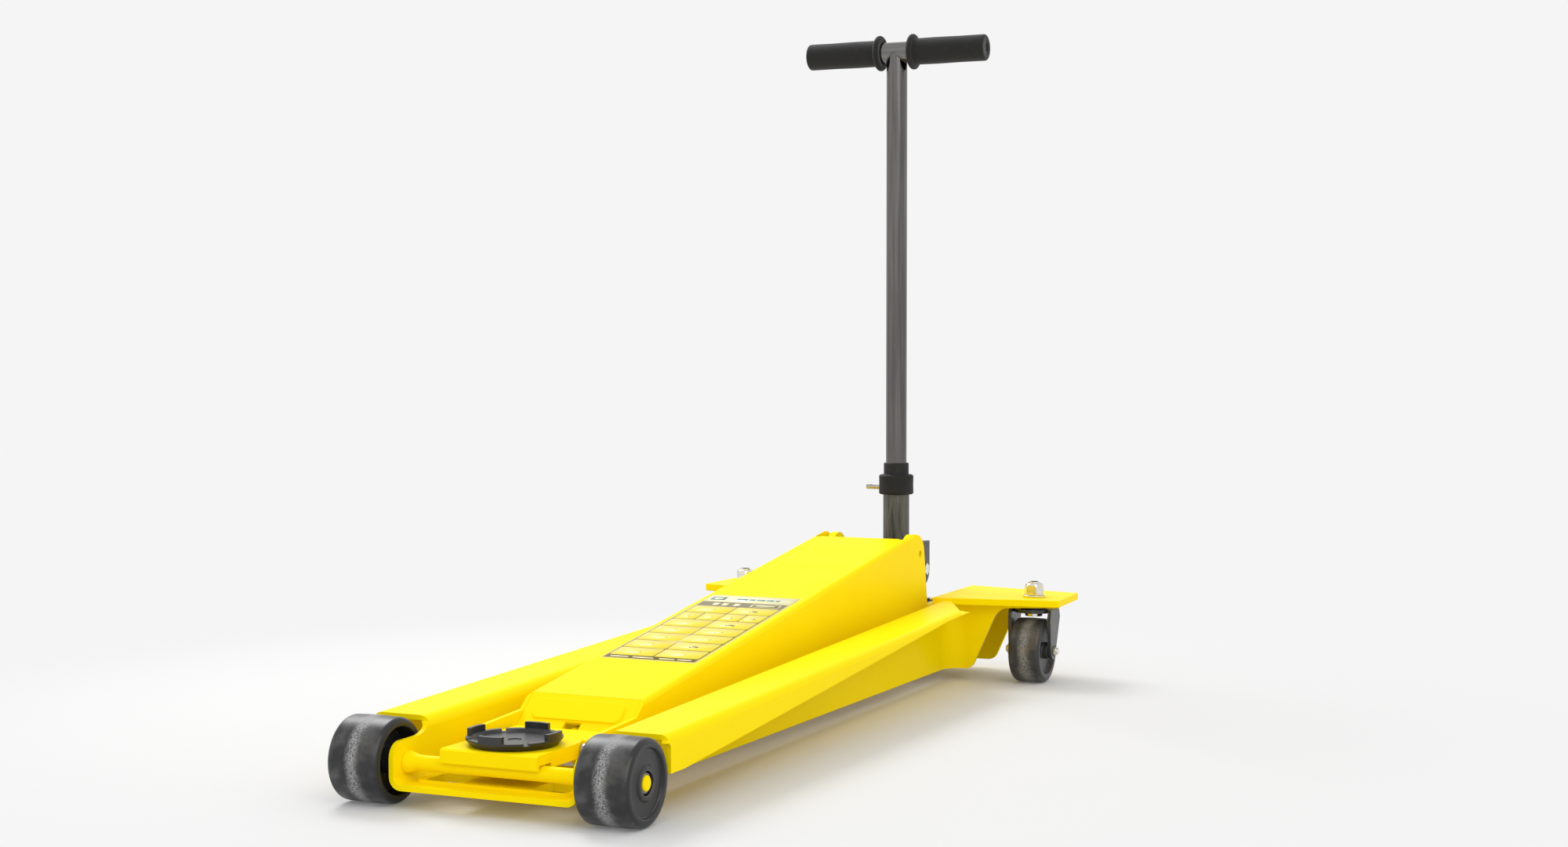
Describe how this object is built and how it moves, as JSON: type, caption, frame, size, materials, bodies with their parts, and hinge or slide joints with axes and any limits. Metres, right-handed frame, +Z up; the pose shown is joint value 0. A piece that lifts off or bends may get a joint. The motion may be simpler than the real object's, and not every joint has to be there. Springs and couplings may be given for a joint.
{
  "type": "long-chassis hydraulic trolley jack",
  "caption": "Low long-chassis hydraulic trolley jack with a wedge lift arm, levelling saddle, outrigger castors and an upright T-handle for pumping and release.",
  "frame": {"origin": "on the floor, midway along the footprint, on the centre plane of the jack", "axes": "+X to the right seen from the front, +Y from the front wheels towards the handle, +Z up"},
  "size_m": [0.606, 1.352, 1.0255],
  "materials": {
    "yellow_paint": "gloss yellow powder coat",
    "cast_housing": "satin dark grey paint on cast iron",
    "dark_steel": "dark grey phosphated steel",
    "bright_steel": "turned steel",
    "zinc_fasteners": "zinc plated",
    "bronze": "turned bronze",
    "spring_steel": "oiled spring steel",
    "label_film": "printed film",
    "black_casting": "black gloss enamel",
    "ram_chrome": "hard chrome",
    "mill_steel": "satin mill finish",
    "post_chrome": "dark polished steel",
    "collar_plastic": "matte black",
    "grip_rubber": "matte black foam rubber",
    "wheel_polymer": "satin dark nylon with a scuffed tread",
    "castor_tread": "worn tread with brown scuffs",
    "fork_steel": "dark grey pressed steel"
  },
  "bodies": {
    "chassis": {"beam_left": "yellow_paint", "beam_right": "yellow_paint", "front_pan": "yellow_paint", "front_axle": "yellow_paint", "axle_rings": "spring_steel", "outrigger_left": "yellow_paint", "outrigger_right": "yellow_paint", "floor_plate": "yellow_paint", "unit_cheek_left": "yellow_paint", "unit_cheek_right": "yellow_paint", "power_unit": "cast_housing", "ram_gland": "bright_steel", "reservoir": "cast_housing", "pump_barrel": "bright_steel", "valve_gland": "bright_steel", "filler_plugs": "zinc_fasteners", "unit_bolts": "zinc_fasteners", "pivot_bushes": "bronze", "rod_anchor_pin": "bright_steel", "yoke_bolts": "zinc_fasteners", "castor_studs": "zinc_fasteners", "castor_washers": "zinc_fasteners", "castor_nuts": "zinc_fasteners", "castor_bearings": "bright_steel"},
    "lift_arm": {"arm_shell": "yellow_paint", "arm_nose": "yellow_paint", "arm_brace": "yellow_paint", "pivot_shaft": "bright_steel", "ram_pin": "bright_steel", "label_plate": "label_film"},
    "carrier": {"saddle_carrier": "yellow_paint", "carrier_pins": "bright_steel", "saddle_bolt": "bright_steel"},
    "saddle": {"saddle": "black_casting"},
    "levelling_rod": {"levelling_rod": "yellow_paint"},
    "ram": {"ram_rod": "ram_chrome", "crosshead": "cast_housing"},
    "plunger": {"pump_plunger": "bright_steel", "plunger_spring": "spring_steel"},
    "yoke": {"yoke": "dark_steel", "yoke_roller": "bright_steel"},
    "handle": {"lower_post": "mill_steel", "upper_post": "post_chrome", "post_collar": "collar_plastic", "crossbar": "post_chrome", "grip_left": "grip_rubber", "grip_right": "grip_rubber", "release_drive": "bright_steel"},
    "lock_pin": {"lock_pin": "bright_steel"},
    "valve_spindle": {"valve_spindle": "bright_steel"},
    "front_wheel_left": {"front_wheel_left": "wheel_polymer"},
    "front_wheel_right": {"front_wheel_right": "wheel_polymer"},
    "castor_left": {"castor_fork_left": "fork_steel", "castor_axle_left": "zinc_fasteners"},
    "castor_right": {"castor_fork_right": "fork_steel", "castor_axle_right": "zinc_fasteners"},
    "castor_wheel_left": {"castor_wheel_left": "castor_tread"},
    "castor_wheel_right": {"castor_wheel_right": "castor_tread"}
  },
  "joints": [
    {"name": "arm_lift", "type": "hinge", "parent": "chassis", "child": "lift_arm", "pos_m": [0, 0.505, 0.197], "axis": [-1, 0, 0], "range_deg": [0, 22.5]},
    {"name": "carrier_level", "type": "hinge", "parent": "lift_arm", "child": "carrier", "pos_m": [0, -0.54, 0.062], "axis": [-1, 0, 0], "range_deg": [-22.5, 0]},
    {"name": "saddle_turn", "type": "hinge", "parent": "carrier", "child": "saddle", "pos_m": [0, -0.584, 0.075], "axis": [0, 0, 1], "continuous": true},
    {"name": "rod_swing", "type": "hinge", "parent": "chassis", "child": "levelling_rod", "pos_m": [0, 0.465, 0.179], "axis": [-1, 0, 0], "range_deg": [0, 22.5]},
    {"name": "ram_stroke", "type": "slide", "parent": "chassis", "child": "ram", "axis": [0, -1, 0], "range_m": [0, 0.0495]},
    {"name": "handle_pump", "type": "hinge", "parent": "chassis", "child": "yoke", "pos_m": [0, 0.6058, 0.163], "axis": [-1, 0, 0], "range_deg": [0, 45]},
    {"name": "pump_stroke", "type": "slide", "parent": "chassis", "child": "plunger", "axis": [0, 0, -1], "range_m": [0, 0.0277], "deforming": ["plunger_spring"]},
    {"name": "handle_twist", "type": "hinge", "parent": "yoke", "child": "handle", "pos_m": [0, 0.6058, 0.2], "axis": [0, 0, 1], "range_deg": [0, 90]},
    {"name": "valve_turn", "type": "hinge", "parent": "chassis", "child": "valve_spindle", "pos_m": [0, 0.6058, 0.14], "axis": [0, 0, 1], "range_deg": [0, 90]},
    {"name": "lock_pull", "type": "slide", "parent": "handle", "child": "lock_pin", "axis": [-1, 0, 0], "range_m": [0, 0.012], "stiffness_N_per_m": 600, "springref_m": -0.004},
    {"name": "front_wheel_left_spin", "type": "hinge", "parent": "chassis", "child": "front_wheel_left", "pos_m": [-0.1596, -0.626, 0.05], "axis": [1, 0, 0], "continuous": true},
    {"name": "castor_left_swivel", "type": "hinge", "parent": "chassis", "child": "castor_left", "pos_m": [-0.2495, 0.5588, 0.11], "axis": [0, 0, 1], "continuous": true},
    {"name": "castor_left_roll", "type": "hinge", "parent": "castor_left", "child": "castor_wheel_left", "pos_m": [-0.2495, 0.5508, 0.05], "axis": [1, 0, 0], "continuous": true},
    {"name": "front_wheel_right_spin", "type": "hinge", "parent": "chassis", "child": "front_wheel_right", "pos_m": [0.1596, -0.626, 0.05], "axis": [1, 0, 0], "continuous": true},
    {"name": "castor_right_swivel", "type": "hinge", "parent": "chassis", "child": "castor_right", "pos_m": [0.2495, 0.5588, 0.11], "axis": [0, 0, 1], "continuous": true},
    {"name": "castor_right_roll", "type": "hinge", "parent": "castor_right", "child": "castor_wheel_right", "pos_m": [0.2495, 0.5508, 0.05], "axis": [1, 0, 0], "continuous": true}
  ],
  "couplings": [
    {"joint": "carrier_level", "follows": "arm_lift", "ratio": -1},
    {"joint": "rod_swing", "follows": "arm_lift", "ratio": 1},
    {"joint": "ram_stroke", "follows": "arm_lift", "m_per_rad": 0.125},
    {"joint": "pump_stroke", "follows": "handle_pump", "m_per_rad": 0.03508},
    {"joint": "valve_turn", "follows": "handle_twist", "ratio": 1}
  ]
}
